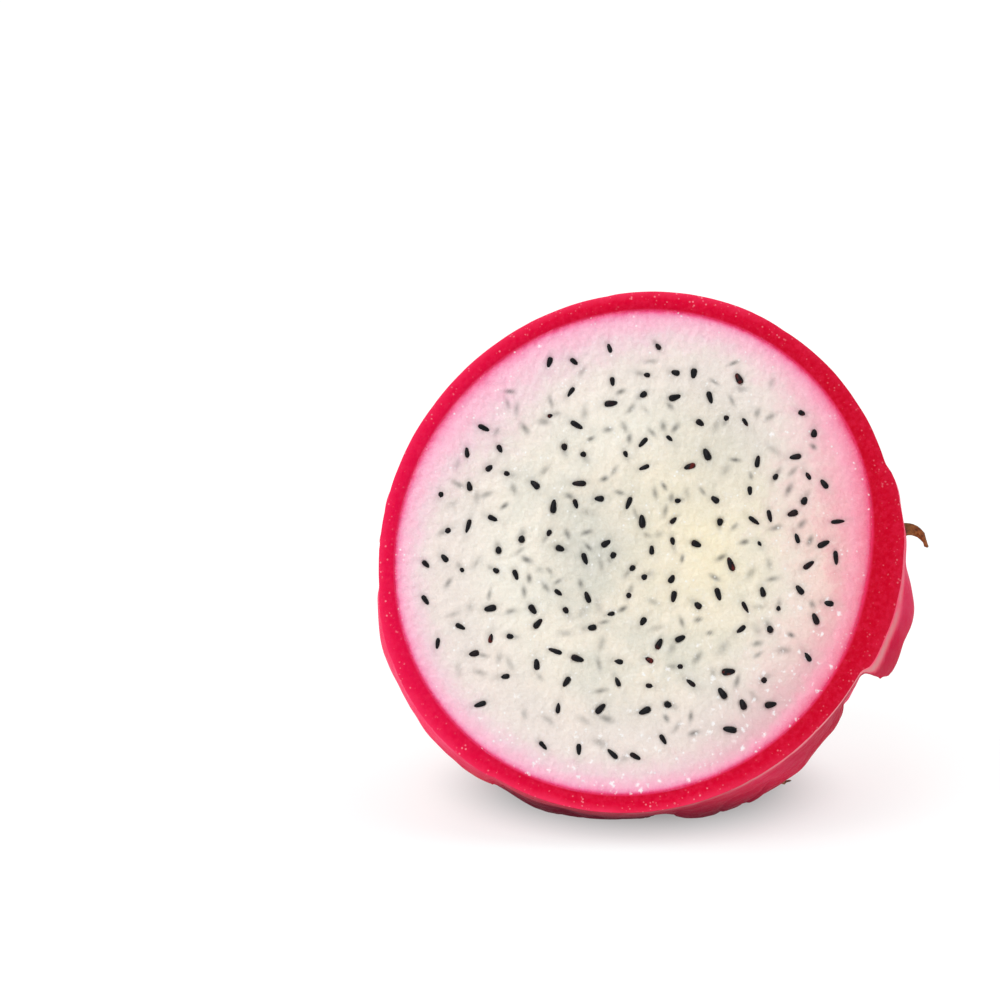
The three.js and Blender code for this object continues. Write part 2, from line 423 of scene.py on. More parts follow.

# Lesser colours, which are not among the settings. The skin's painted shade ramp and CORK hold rows of
# (value, colour).
SKIN_MOTTLE = (0.96, 0.13, 0.19)
# Painted shade: darker crimson to purple near the ground and at the lower right
SKIN_SHADE_RAMP = ((0.72, (0.31, 0.002, 0.012)), (1.0, (0.15, 0.005, 0.022)))
# Painted pale reflection in the skin just behind the rim
SKIN_REFLECTION = (0.66, 0.34, 0.33)
CORK = ((0.0, (0.02, 0.008, 0.004)), (0.2, (0.09, 0.035, 0.015)), (0.42, (0.30, 0.15, 0.06)))
RIM_DEEP = (0.50, 0.001, 0.02)
# Painted shade on the rim's right side and painted light on its left
RIM_RIGHT_SHADE, RIM_LEFT_LIGHT = (0.52, 0.001, 0.014), (0.84, 0.006, 0.085)
RIM_INNER_EDGE = (0.88, 0.045, 0.16)
# Painted glints on the wet cut rind
RIM_GLINT = (0.92, 0.28, 0.34)


def body_mesh(form):
    """The smooth fruit without its scales, from in front of the cut to the navel."""
    start = math.asin((FRONT - WIDEST_BEHIND) / END_BEHIND_WIDEST)
    profile = [(0.0, FRONT, 0.0)]
    for i in range(BODY_RINGS + 1):
        r, y = form.section(mix(start, form.lip_angle, i / BODY_RINGS))
        profile.append((float(r), float(y), 0.0))
    lip_y = profile[-1][1]
    profile.append((NAVEL["bowl_radius"], lip_y - NAVEL["bowl_depth"], 0.0))
    profile.append((0.0, lip_y - NAVEL["depth"], 0.0))
    bm = spun(profile, (0, 1, 0), BODY_STEPS)
    for v in bm.verts:
        k = float(form.stretch(math.atan2(v.co.z, v.co.x), v.co.y))
        v.co.x *= k
        v.co.z *= k
    return mesh_of(bm, "fruit body")


class Scale:
    """One scale of the rind: a thick leaf that hugs the fruit from its root and turns out at its tip."""

    STEPS = 48

    def __init__(self, form, number):
        sizes = form.sizes
        chance = random.Random(SEED_OF_CHANCE + number)
        share = number / max(sizes.scale_count - 1, 1)
        self.form, self.number = form, number
        self.length = mix(sizes.scale_length, sizes.last_scale_length, share) * chance.uniform(0.96, 1.05)
        self.half_width = mix(sizes.scale_half_width, sizes.last_half_width, share)
        self.half_width *= chance.uniform(0.95, 1.06)
        astray = math.radians(chance.uniform(-3, 3) if number else 0)
        self.about = FIRST_SCALE + number * SCALE_TURN + astray
        self.drift = SCALE_DRIFT * (chance.uniform(-0.2, 1.3) if number else 1.0)
        self.puff = mix(*SCALE_PUFF, min(share * 2.5, 1)) * MM * chance.uniform(0.7, 1.3)
        self.base = mix(*SCALE_BASE, share)
        self.hug = mix(*SCALE_HUG, share)
        self.curl = mix(*SCALE_CURL, share) * (chance.uniform(0.75, 1.05) if number else 1.0)
        self._draw_line()

    def _draw_line(self):
        """The middle line: distance from the axis, distance behind the cut, and slope towards the axis."""
        start = math.asin((self.base - WIDEST_BEHIND) / END_BEHIND_WIDEST)
        r, y = (float(x) for x in self.form.section(start))
        r2, y2 = (float(x) for x in self.form.section(start + 1e-3))
        inward = math.atan2(r - r2, y2 - y)
        rows = [(r, y, inward)]
        for i in range(self.STEPS):
            u = (i + 0.5) / self.STEPS
            inward += (self.hug - 4 * self.curl * u ** 3) / self.STEPS
            r -= math.sin(inward) * self.length / self.STEPS
            y += math.cos(inward) * self.length / self.STEPS
            rows.append((r, y, inward))
        self.line = np.array(rows)

    def width_at(self, u):
        neck = mix(0.85, 1.0, ease(u, 0, 0.3))
        return SCALE_TIP_HALF_WIDTH + self.half_width * neck * (1 - u ** 3)

    def place(self, u, v, w):
        """Points at u from root to tip, v from edge to edge (-1 to 1) and w from inside out (0 to 1)."""
        at = np.linspace(0, 1, self.STEPS + 1)
        r, y, inward = (np.interp(u, at, self.line[:, i]) for i in range(3))
        thick = mix(SCALE_THICKNESS, SCALE_TIP_THICKNESS, u) * (1 - 0.40 * np.abs(v) ** 4)
        outer = thick * ease(u, 0, ROOT_SHARE)
        outer = outer + self.puff * np.sin(math.pi * np.clip(u / 0.85, 0, 1)) * (1 - v * v)
        outer = outer + SCALE_EDGE_LIFT * ease(u, 0.25, 0.7) * np.abs(v) ** 5
        own = 9.1 * self.number
        fold = np.array([noise.noise((a * 1.6, b * 3.2 + own, 0.3)) for a, b in zip(u, v)])
        outer = outer + SCALE_FOLD * fold * ease(u, 0.1, 0.5) * (1 - u * u)
        if self.number == 0:
            lift = FIRST_SCALE_LIFT
            raised = ease(u, *lift["rises"]) * (1 - ease(u, *lift["falls"])) * ease(-v, *lift["side"])
            outer = outer + lift["height"] * raised
            thick = thick + lift["height"] * raised
        inner = mix(-ROOT_SINK, outer - np.maximum(thick, SCALE_TIP_THICKNESS), ease(u, 0.3, 0.6))
        rise = mix(inner, outer, w)
        edge_wave = 1 + SCALE_WAVE * np.sin(u * 11 + self.number) * np.sign(v)
        sideways = v * self.width_at(u) * edge_wave / np.maximum(r, self.half_width)
        turned = self.about + self.drift * u * u + sideways
        out = r * self.form.stretch(turned, y) + rise * np.cos(inward)
        return np.stack([out * np.cos(turned), y + rise * np.sin(inward), out * np.sin(turned)], 1)


def block_mesh(cuts):
    """A cube of side 1, cut into a grid on every side."""
    bm = bmesh.new()
    bmesh.ops.create_cube(bm, size=1.0)
    bmesh.ops.subdivide_edges(bm, edges=bm.edges, cuts=cuts, use_grid_fill=True)
    return mesh_of(bm, "block")


def grown_together(form):
    """Body and scales as one skin, and what paint_rind() needs to know of their points: rows of
    (x, y, z, share of the way to the scale's tip, nearness to its edge, scale number or -1)."""
    body = body_mesh(form)
    block = block_mesh(SCALE_CUTS)
    corners = points_of(block)
    u, v, w = corners[:, 0] + 0.5, corners[:, 1] * 2, corners[:, 2] + 0.5
    bm = bmesh.new()
    bm.from_mesh(body)
    none = np.zeros(len(body.vertices))
    known = [np.column_stack([points_of(body), none, none, none - 1.0])]
    for number in range(form.sizes.scale_count):
        scale = Scale(form, number)
        placed = scale.place(u, v, w)
        set_points(block, placed)
        bm.from_mesh(block)
        known.append(np.column_stack([placed, u, np.abs(v), np.full(len(u), float(number))]))
    return voxel_skin(mesh_of(bm, "body and scales")), np.concatenate(known)


def voxel_skin(mesh):
    """One closed skin round everything in the mesh, smoothed."""
    thing = add_object("skin in the making", mesh)
    remesh = thing.modifiers.new("One skin", "REMESH")
    remesh.mode = "VOXEL"
    remesh.voxel_size = VOXEL
    smooth = thing.modifiers.new("Smooth", "SMOOTH")
    smooth.factor = 0.5
    smooth.iterations = 5
    graph = bpy.context.evaluated_depsgraph_get()
    skin = bpy.data.meshes.new_from_object(thing.evaluated_get(graph))
    bpy.data.objects.remove(thing)
    return skin


def wrinkle(mesh):
    """Puffy folds, sharp creases and small dents over the whole skin."""
    co, normals = points_of(mesh), normals_of(mesh)
    puffs = lumps(co * (1, 0.6, 1), PUFF[0], 2)
    dents = lumps(co, DENT[0], 2, 5.0)
    lines = lumps(co * (1, 0.75, 1), CREASE[0], 2, 8.0)
    crease = np.exp(-((lines / 0.07) ** 2)) * ease(lumps(co, 16 * MM, 1, 2.0), -0.15, 0.25)
    calm = mix(0.12, 1.0, ease(co[:, 1], *FOLDS_FROM))  # the skin is smooth near the cut
    rise = calm * (PUFF[1] * puffs + DENT[1] * dents - CREASE[1] * crease)
    set_points(mesh, co + normals * rise[:, None])


def longest_loop(edges):
    """The edges of the longest closed loop among these."""
    left, best = set(edges), []
    while left:
        loop, todo = [], [left.pop()]
        while todo:
            edge = todo.pop()
            loop.append(edge)
            for v in edge.verts:
                for other in v.link_edges:
                    if other in left:
                        left.remove(other)
                        todo.append(other)
        if len(loop) > len(best):
            best = loop
    return best


def extrude_ring(bm, edges, place, layer, value):
    """Extrudes a loop of edges, moves each new corner to place(its angle, its start) and marks it."""
    made = bmesh.ops.extrude_edge_only(bm, edges=edges)["geom"]
    for v in (g for g in made if isinstance(g, bmesh.types.BMVert)):
        v.co = place(math.atan2(v.co.z, v.co.x), v.co.copy())
        v[layer] = value
    return [g for g in made if isinstance(g, bmesh.types.BMEdge)]


def run_back(bm, edges, form, inset, layer, value):
    """Runs a loop of edges back along the flesh's outside, inset from it, and closes the far end."""
    for i in range(1, WALL_STEPS):
        share = i / WALL_STEPS

        def along(about, start, share=share):
            r, y = form.flesh_behind(about, share)
            inside = float(r) - inset
            return Vector((math.cos(about) * inside, float(y), math.sin(about) * inside))

        edges = extrude_ring(bm, edges, along, layer, value)
    bmesh.ops.edgeloop_fill(bm, edges=edges)
    bmesh.ops.recalc_face_normals(bm, faces=bm.faces)


def cut_rim(bm, form):
    """Trims the skin at the cut, and turns the edge in: across the rim, then back along the flesh."""
    bmesh.ops.bisect_plane(
        bm, geom=bm.verts[:] + bm.edges[:] + bm.faces[:], dist=0.02 * MM,
        plane_co=(0, 0, 0), plane_no=(0, -1, 0), clear_outer=True,
    )
    bmesh.ops.dissolve_degenerate(bm, dist=0.08 * MM, edges=bm.edges)
    rim = bm.verts.layers.float.new("rim")
    for v in bm.verts:
        v[rim] = -1.0
    open_edges = [e for e in bm.edges if e.is_boundary]
    edges = longest_loop(open_edges)
    outline = set(edges)
    small = [e for e in open_edges if e not in outline]
    if small:
        bmesh.ops.holes_fill(bm, edges=small, sides=0)
    for v in {v for e in edges for v in e.verts}:
        v.co.y = 0.0
        v[rim] = 0.0
    before = 0.0
    for t in RIM_STEPS:
        step = (t - before) / (1 - before)
        lift = -RIM_BULGE * math.sin(math.pi * t) ** 0.5 if t < 1 else 0.1 * MM

        def across(about, start, step=step, lift=lift):
            r = mix(math.hypot(start.x, start.z), float(form.flesh_radius(about)), step)
            return Vector((math.cos(about) * r, lift, math.sin(about) * r))

        edges = extrude_ring(bm, edges, across, rim, t)
        before = t
    run_back(bm, edges, form, 0.0, rim, 1.0)


def paint_rind(mesh, known):
    """Attributes that the rind's looks read.

    tip, edge: nearness to the scale's tip and edge; late: 1 on the last scales; hollow: see hollowness()
    scar: the navel; a painted pale reflection in a band behind the rim; rough: how far its dents and veins
    show
    plain: skin without coral; under: painted shade, darker skin near the ground and at the lower right
    """
    to_tip, to_edge, owners = known[:, 3:].T
    tree = kdtree.KDTree(len(known))
    for i, place in enumerate(known[:, :3]):
        tree.insert(place, i)
    tree.balance()
    co = points_of(mesh)
    tip, edge, late = np.zeros(len(co)), np.zeros(len(co)), np.zeros(len(co))
    last = owners.max()
    for i, point in enumerate(co):
        near = tree.find_n(point, 4)
        owner = owners[near[0][1]]
        same = [(j, 1 / (far + 0.05 * MM)) for _, j, far in near if owners[j] == owner]
        total = sum(weight for _, weight in same)
        tip[i] = sum(to_tip[j] * weight for j, weight in same) / total
        edge[i] = sum(to_edge[j] * weight for j, weight in same) / total
        late[i] = float(ease(owner, last - 6, last - 1))
    spread = spreader(mesh)
    for _ in range(9):
        tip, edge, late = spread(tip), spread(edge), spread(late)
    behind, across = co[:, 1], np.hypot(co[:, 0], co[:, 2])
    lower_right = side_share(np.arctan2(co[:, 2], co[:, 0]), *LOWER_RIGHT)
    height = (co @ np.array(fruit_to_row().to_3x3()).T)[:, 2] + fruit_to_row().translation.z
    shaded = lower_right * ease(behind, *SHADE_FROM) * (1 - ease(behind, *SHADE_TO))
    painted = {
        "tip": tip, "edge": edge, "late": late, "hollow": hollowness(mesh, spread),
        "scar": (1 - ease(across, *SCAR_ACROSS)) * ease(behind, *SCAR_FROM) * (tip < 0.25),
        # painted pale reflection, at the lower right just behind the rim
        "pale_reflection": ease(behind, *REFLECTION_FROM) * (1 - ease(behind, *REFLECTION_TO)) * lower_right,
        "rough": ease(behind, *ROUGH_FROM),
        "plain": lower_right * (1 - ease(behind, *PLAIN_TO)),
        # painted shade: near the ground, and at the lower right
        "under": np.maximum(1 - ease(height, *GROUND_SHADE_UP_TO), 0.75 * shaded),
    }
    for name, values in painted.items():
        set_attribute(mesh, name, values)


def mark_cut_faces(mesh):
    """Faces from the rim's outer edge inwards wear the second material."""
    rim = attribute_of(mesh, "rim")
    for face in mesh.polygons:
        face.material_index = int(min(rim[i] for i in face.vertices) > -0.5)


def spreader(mesh):
    """A function that gives each point the mean of its neighbours' values."""
    pairs = np.empty(len(mesh.edges) * 2, np.int32)
    mesh.edges.foreach_get("vertices", pairs)
    a, b = pairs[0::2], pairs[1::2]
    size = len(mesh.vertices)
    count = np.maximum(np.bincount(a, minlength=size) + np.bincount(b, minlength=size), 1)
    return lambda values: (np.bincount(a, values[b], size) + np.bincount(b, values[a], size)) / count


def hollowness(mesh, spread):
    """About 0 on ridges, 0.5 on even skin and 1 in creases."""
    co, normals = points_of(mesh), normals_of(mesh)
    away = co.copy()
    for _ in range(12):
        away = np.stack([spread(away[:, k]) for k in range(3)], 1)
    depth = ((away - co) * normals).sum(1)
    for _ in range(4):
        depth = spread(depth)
    return np.clip(0.5 + depth / (1.2 * MM), 0, 1)


def skin_look(colours):
    """Waxy pink, coral towards each scale's edge, yellow green near its tip, painted crimson shade in the
    creases, painted shade near the ground and at the lower right, and a painted pale reflection behind the
    rim.
    """
    look = Look("rind skin")
    patches = look.noise(12 * MM, 4, 0.6)
    mottle = look.noise(2.2 * MM, 5, 0.65)
    uneven = look.swing(mottle, 0.3)
    base = look.blend(look.fit(patches, 0.35, 0.68), colours.skin, colours.skin_pale)
    base = look.blend(look.fit(mottle, 0.5, 0.75), base, SKIN_MOTTLE, 0.3)
    reach = look.plus("tip", look.times(look.times("edge", "edge"), 0.42))
    reach = look.plus(reach, look.swing(patches, 0.8))
    coral = look.times(look.fit(reach, 0.45, 0.92), look.fit("tip", 0.05, 0.3))
    coral = look.times(coral, look.fit("plain", 0.3, 0.9, 1.0, 0.1))
    skin = look.blend(coral, base, colours.scale_edge)
    yellow = look.times(look.fit(reach, 0.95, 1.35), look.fit("tip", 0.35, 0.7))
    skin = look.blend(yellow, skin, colours.scale_yellow, 0.75)
    green = look.plus(look.plus("tip", uneven), look.times("late", 0.2))
    skin = look.blend(look.fit(green, 0.84, 1.0), skin, colours.scale_green)
    skin = look.blend(look.fit("tip", 0.955, 0.985), skin, colours.dry)
    veins = look.fit(look.noise(2.6 * MM, 3, 0.55, (1, 0.25, 1)), 0.5, 0.8)
    veins = look.times(look.times(veins, "rough"), look.fit(coral, 0, 1, 0.32, 0.06))
    skin = look.blend(veins, skin, colours.veins_and_crease_shade)
    # Painted shade: the creases are darkened towards deep crimson
    skin = look.blend(look.fit("hollow", 0.55, 0.85), skin, colours.veins_and_crease_shade, 0.85)
    # Painted shade: darker crimson to purple near the ground and at the lower right
    skin = look.blend("under", skin, look.ramp("under", SKIN_SHADE_RAMP))
    # Painted pale reflection in a band just behind the rim
    pale_reflection = look.times(look.fit(look.noise(8 * MM, 2, 0.5), 0.25, 0.45), "pale_reflection")
    skin = look.blend(pale_reflection, skin, SKIN_REFLECTION, 0.85)
    fibres = look.plus(look.noise(0.9 * MM, 4, 0.7, (1, 0.3, 1)), look.times("scar", -0.45))
    corky = look.fit(look.plus("scar", look.times(uneven, 1.6)), 0.12, 0.42)
    skin = look.blend(corky, skin, look.ramp(fibres, CORK))
    fine = look.bump(look.noise(0.5 * MM, 3, 0.6), 0.10 * MM)
    pores = look.bump(look.cells(1.3 * MM), 0.10 * MM, fine)
    folded = look.times(look.noise(3.4 * MM, 4, 0.6), look.plus("rough", 0.1))
    folds = look.bump(folded, 0.7 * MM, pores)
    rough = look.fit(mottle, 0.3, 0.7, 0.38, 0.52)
    return look.finish(
        base_color=skin, roughness=rough, normal=folds, subsurface_weight=0.12,
        subsurface_radius=(1.0, 0.25, 0.2), subsurface_scale=1.2 * MM, specular_ior_level=0.01,
    )


def cut_rind_look(colours):
    """The rim: bright with painted glints outside, deeper crimson towards the flesh, and wet, with painted
    light on its left and painted shade on its right.
    """
    look = Look("cut rind")
    grain = look.noise(0.9 * MM, 4, 0.7)
    patches = look.noise(9 * MM, 3, 0.6)
    across = look.ramp(look.plus("rim", look.swing(patches, 0.45)), [
        (0.0, tuple(colours.rim_bright)), (0.18, mixed(colours.rim_bright, colours.rim, 0.5)),
        (0.42, tuple(colours.rim)), (0.90, mixed(colours.rim, RIM_DEEP, 0.6)),
    ])
    to_right = look.node("ShaderNodeSeparateXYZ", 0, {0: look.place()})
    # Painted shade towards the rim's right and painted light towards its left
    across = look.blend(look.fit(to_right, 5 * MM, 38 * MM, 0.0, 0.78), across, RIM_RIGHT_SHADE)
    across = look.blend(look.fit(to_right, -42 * MM, -5 * MM, 0.45, 0.0), across, RIM_LEFT_LIGHT)
    cut = look.blend(look.fit(grain, 0.4, 0.7), across, colours.rim_bright, 0.25)
    cut = look.blend(look.fit("rim", 0.86, 1.0), cut, RIM_INNER_EDGE, 0.85)
    # Painted glints: pale dots on the outer rim, fainter towards its right
    dots = look.fit(look.cells(0.75 * MM), 0.11, 0.32, 1.0, 0.0)
    some = look.fit(look.noise(1.7 * MM, 3, 0.7), 0.47, 0.58)
    outer = look.times(look.fit("rim", 0.45, 0.85, 1.0, 0.1), look.fit(to_right, 5 * MM, 35 * MM, 1.0, 0.45))
    cut = look.blend(look.times(look.times(dots, some), outer), cut, RIM_GLINT, 0.75)
    fine = look.bump(look.noise(0.5 * MM, 3, 0.6), 0.10 * MM)
    pits = look.bump(look.cells(1.0 * MM), 0.12 * MM, fine)
    return look.finish(
        base_color=cut, roughness=look.fit(grain, 0.3, 0.7, 0.30, 0.45), normal=pits, subsurface_weight=0.08,
        subsurface_radius=(1.0, 0.2, 0.2), subsurface_scale=0.8 * MM, specular_ior_level=0.03,
    )


class MakeRind(bpy.types.Operator):
    """Model the rind: body and scales grown together, trimmed by the knife and hollow for the flesh"""

    bl_idname = "dragon_fruit.rind"
    bl_label = "Rind with scales"

    def execute(self, context):
        form = Form(context.scene.fruit_sizes)
        skin, known = grown_together(form)
        wrinkle(skin)
        bm = bmesh.new()
        bm.from_mesh(skin)
        cut_rim(bm, form)
        mesh = mesh_of(bm, "rind")
        paint_rind(mesh, known)
        mark_cut_faces(mesh)
        press_flat(mesh)
        colours = context.scene.fruit_colours
        piece(mesh, "fruit_rind", (skin_look(colours), cut_rind_look(colours)), "rind", "rind")
        return {"FINISHED"}


# Dried tips ------------------------------------------------------------------------------------------

DRIED_CUTS = 9
FIBRES = 17
# The one at the scale that shows beside the cut face: length, half width, curl out and aside, start aside
HOOK = (6.8 * MM, 1.6 * MM, 1.2, -0.45, 1.2 * MM)
DRIED_LONG, DRIED_WIDE, DRIED_SHORTER_AT_CUT = (4.0, 9.0), (1.6, 2.8), 3.0  # mm
FIBRE_LONG, FIBRE_WIDE = (3.0, 5.0), (0.7, 1.3)  # mm
DRY_DARK, DRY_LIGHT = (0.09, 0.030, 0.009), (0.42, 0.20, 0.06)


class MakeDriedTips(bpy.types.Operator):
    """Model the small dried brown leaf ends at the scales' tips"""

    bl_idname = "dragon_fruit.dried_tips"
    bl_label = "Dried scale tips"

    def execute(self, context):
        form = Form(context.scene.fruit_sizes)
        block = block_mesh(DRIED_CUTS)
        corners = points_of(block)
        bm = bmesh.new()
        for number in range(form.sizes.scale_count):
            set_points(block, dried_tip(Scale(form, number), corners))
            bm.from_mesh(block)
        for number in range(FIBRES):
            set_points(block, navel_fibre(form, number, corners))
            bm.from_mesh(block)
        bm.normal_update()
        bmesh.ops.recalc_face_normals(bm, faces=bm.faces)
        mesh = mesh_of(bm, "dried tips")
        press_flat(mesh, 0.2 * MM)
        piece(mesh, "dried_tips", (dried_look(context.scene.fruit_colours),), "rind", "rind")
        return {"FINISHED"}


def dried_tip(scale, corners):
    """A curling, crumpled sliver that starts inside the scale's tip: where the corners of a unit cube go."""
    if scale.number == 0:
        long, wide, curl, side, sideways = HOOK
        ragged, narrow = 0.0, 1.0
    else:
        chance = random.Random(100 + scale.number)
        near_cut = 1 - min(scale.number / 6, 1)
        long = (chance.uniform(*DRIED_LONG) - DRIED_SHORTER_AT_CUT * near_cut) * MM
        wide = chance.uniform(*DRIED_WIDE) * MM
        curl = chance.uniform(-0.6, 0.9) - 0.9 * near_cut
        side, sideways = chance.uniform(-0.9, 0.9), 0.0
        ragged, narrow = 0.25, 0.35
    base, before, beside = (
        scale.place(np.array([u]), np.array([v]), np.array([0.5]))[0]
        for u, v in ((0.97, 0), (0.88, 0), (0.97, 1))
    )
    ahead = (base - before) / np.linalg.norm(base - before)
    across = (beside - base) / np.linalg.norm(beside - base)
    out = np.cross(across, ahead)
    out *= math.copysign(1 / np.linalg.norm(out), out @ (base * (1, 0, 1)))
    s, c, w = corners[:, 0] + 0.5, corners[:, 1] * 2, corners[:, 2]
    bend, turn = (curl * s)[:, None], (side * s * s)[:, None]
    way = (ahead * np.cos(bend) + out * np.sin(bend)) * np.cos(turn) + across * np.sin(turn)
    root = mix(narrow, 1.0, ease(s, 0.05, 0.35))
    width = wide * ((1 - s) ** 0.6 * (1 + ragged * np.sin(9 * s + scale.number)) * root + 0.12)
    crumple = np.array([noise.noise((6 * a, 3 * b, scale.number)) for a, b in zip(s, c)])
    lift = 0.5 * width * c * c + 0.35 * MM * crumple + w * mix(0.9, 0.4, s) * MM
    start = base - ahead * 1.2 * MM + across * sideways
    return start + way * (long * s)[:, None] + across * (c * width * 0.8)[:, None] + out * lift[:, None]


def navel_fibre(form, number, corners):
    """One of the dried slivers that are left of the flower, standing in the navel."""
    chance = random.Random(500 + number)
    ring = number % 2
    about = math.tau * (number + chance.uniform(-0.3, 0.3)) / FIBRES
    long, wide = chance.uniform(*FIBRE_LONG) * MM, chance.uniform(*FIBRE_WIDE) * MM
    lean, curl = chance.uniform(-0.2, 0.35) + 0.5 * ring, chance.uniform(-0.9, 0.9)
    out = np.array([math.cos(about), 0, math.sin(about)])
    across = np.array([-math.sin(about), 0, math.cos(about)])
    lip = float(form.section(form.lip_angle)[1])
    start = out * mix(2.2, 4.6, ring) * MM + np.array([0, lip - mix(3.6, 2.6, ring) * MM, 0])
    s, c, w = corners[:, 0] + 0.5, corners[:, 1] * 2, corners[:, 2]
    bend = (lean + curl * s * s)[:, None]
    way = np.array([0, 1.0, 0]) * np.cos(bend) + out * np.sin(bend)
    face = out * np.cos(bend) - np.array([0, 1.0, 0]) * np.sin(bend)
    width = wide * (0.35 + 0.9 * np.sin(math.pi * (0.15 + 0.8 * s)))
    crumple = np.array([noise.noise((5 * a, 3 * b, 40 + number)) for a, b in zip(s, c)])
    lift = 0.4 * width * c * c + 0.3 * MM * crumple + w * mix(0.6, 0.25, s) * MM
    return start + way * (long * s)[:, None] + across * (c * width * 0.6)[:, None] + face * lift[:, None]


def dried_look(colours):
    """Brown, streaked and dull."""
    look = Look("dried leaf ends")
    streak = look.noise(0.8 * MM, 4, 0.6)
    colour = look.ramp(streak, [(0.3, DRY_DARK), (0.5, tuple(colours.dry)), (0.72, DRY_LIGHT)])
    return look.finish(base_color=colour, roughness=0.7, normal=look.bump(streak, 0.3 * MM))


# Flesh -----------------------------------------------------------------------------------------------

FLESH_CELLS = 270
FLESH_DOME = 0.35 * MM
FLESH_EDGE_PROUD = 0.08 * MM  # where it meets the rim, so that no gap shows
FLESH_OVERLAP = 0.3 * MM  # how far it runs into the rim, and how far inside the rind it runs back
SEEDLESS_EDGE = 4.6 * MM
SEED_GAP, SUNKEN_GAP = 2.9 * MM, 1.7 * MM
BROWN_SEEDS = 0.08  # share of the seeds that are brown in part
LEFT_OUT = 0.42  # share of the seeds that are missing at the edge of their field
SEED_SITS = 0.14 * MM  # how far under the cut surface a level seed's middle lies
POCKET_DEPTH = 0.30 * MM
# Size and height of the cut surface's grain and swells
GRAIN, SWELL = (1.3 * MM, 0.09 * MM), (9 * MM, 0.16 * MM)

# How far the rind's pink runs into the flesh, and where it runs further: angle and spread, in degrees, and
# how many times that width further
BLUSH = 1.0 * MM
BLUSHES = ((14, 26, 2.0), (45, 20, 0.2), (138, 26, 1.1), (95, 20, 0.5), (325, 22, 1.1))
# Sides of the cut face with a tint of their own, and the side with painted shade at the lower right: angle
# and spread, in degrees
SALMON_SIDE = (-8, 52)
SHADE_SIDE = (-48, 24)
PALE_SIDES = ((190, 45), (100, 30))
DUSKY_SIDE = (48, 24)
# Round patches in it: centre (x, z) and radius
WARM_PATCH = (13 * MM, 1 * MM, 15 * MM)
COOL_PATCH = (-7 * MM, 0.0, 7 * MM)

CLOUDY_WHITE, STREAKY_WHITE, OUTER_WHITE = (0.72, 0.69, 0.60), (0.88, 0.85, 0.80), (0.86, 0.745, 0.71)
# Part of the face, its colour, and how far it goes
TINTS = (
    ("cool", (0.60, 0.60, 0.54), 0.6), ("pale", (0.93, 0.87, 0.77), 0.65), ("dusky", (0.70, 0.66, 0.57), 0.6),
)
# Painted shade: a greyer, darker pink at the lower right edge of the flesh
SHADED_PINK = (0.66, 0.47, 0.46)
VEIL_DARK, VEIL_LIGHT = (0.05, 0.05, 0.045), (0.13, 0.125, 0.115)
# Painted glints: small white highlights of the wet flesh and of its drops
GLINT, DROP_GLINT = (0.99, 0.98, 0.97), (0.99, 0.97, 0.97)


class Seed:
    """A seed's place in the cut: its centre (x, z), where its blunt end points, its lean and its sizes."""

    def __init__(self, chance, x, z, length, width):
        self.x, self.z = x, z
        self.turn = chance.uniform(-math.pi, math.pi)
        self.lean = chance.uniform(0.0, 0.25) if chance.random() < 0.7 else chance.uniform(0.25, 0.75)
        self.length = length * chance.uniform(0.8, 1.15)
        self.width = width * chance.uniform(0.8, 1.2)
        self.sink = chance.uniform(0.0, 0.2) * MM
        self.brown = chance.uniform(0.3, 1.0) if chance.random() < BROWN_SEEDS else chance.uniform(0, 0.1)

    def nearness(self, x, z, shift=0.0):
        """1 on the seed's outline, less inside and more outside. shift moves it along, in lengths."""
        dx = x - self.x - shift * self.length * math.cos(self.turn)
        dz = z - self.z - shift * self.length * math.sin(self.turn)
        along = dx * math.cos(self.turn) + dz * math.sin(self.turn)
        beside = dz * math.cos(self.turn) - dx * math.sin(self.turn)
        half = self.length / 2 * math.cos(self.lean)
        return np.hypot(along / half, beside / (self.width / 2))


def scatter_seeds(form):
    """Seeds that lie open in the cut, and seeds just under it, by a fixed chance: fewer near the edge."""
    sizes, chance = form.sizes, random.Random(SEED_OF_CHANCE)
    placed = []

    def scatter(count, gap):
        found = []
        while len(found) < count:
            about, r = chance.uniform(-math.pi, math.pi), math.sqrt(chance.random()) * sizes.face_radius
            room = float(form.flesh_radius(about)) - SEEDLESS_EDGE
            if r > room or chance.random() < LEFT_OUT * (r / room) ** 2:
                continue
            x, z = r * math.cos(about), r * math.sin(about)
            if all(math.hypot(x - a, z - b) > gap * chance.uniform(0.8, 1.3) for a, b in placed):
                placed.append((x, z))
                found.append(Seed(chance, x, z, sizes.seed_length, sizes.seed_width))
        return found

    return scatter(sizes.seeds, SEED_GAP), scatter(sizes.sunken_seeds, SUNKEN_GAP)


def flesh_surface(rho):
    """How far the cut surface stands out in front of the cut plane, by the share of the way to its edge."""
    return FLESH_DOME * (1 - rho ** 4) + FLESH_EDGE_PROUD


class MakeFlesh(bpy.types.Operator):
    """Model the flesh: a wet grainy cut face with pockets for the seeds, and the body behind it"""

    bl_idname = "dragon_fruit.flesh"
    bl_label = "Flesh"

    def execute(self, context):
        form = Form(context.scene.fruit_sizes)
        bm = bmesh.new()
        bmesh.ops.create_grid(bm, x_segments=FLESH_CELLS, y_segments=FLESH_CELLS, size=1.0)
        close_flesh(bm, form)
        mesh = mesh_of(bm, "flesh")
        shape_face(mesh, form)
        piece(mesh, "fruit_flesh", (flesh_look(context.scene.fruit_colours),), "flesh", "flesh")
        return {"FINISHED"}


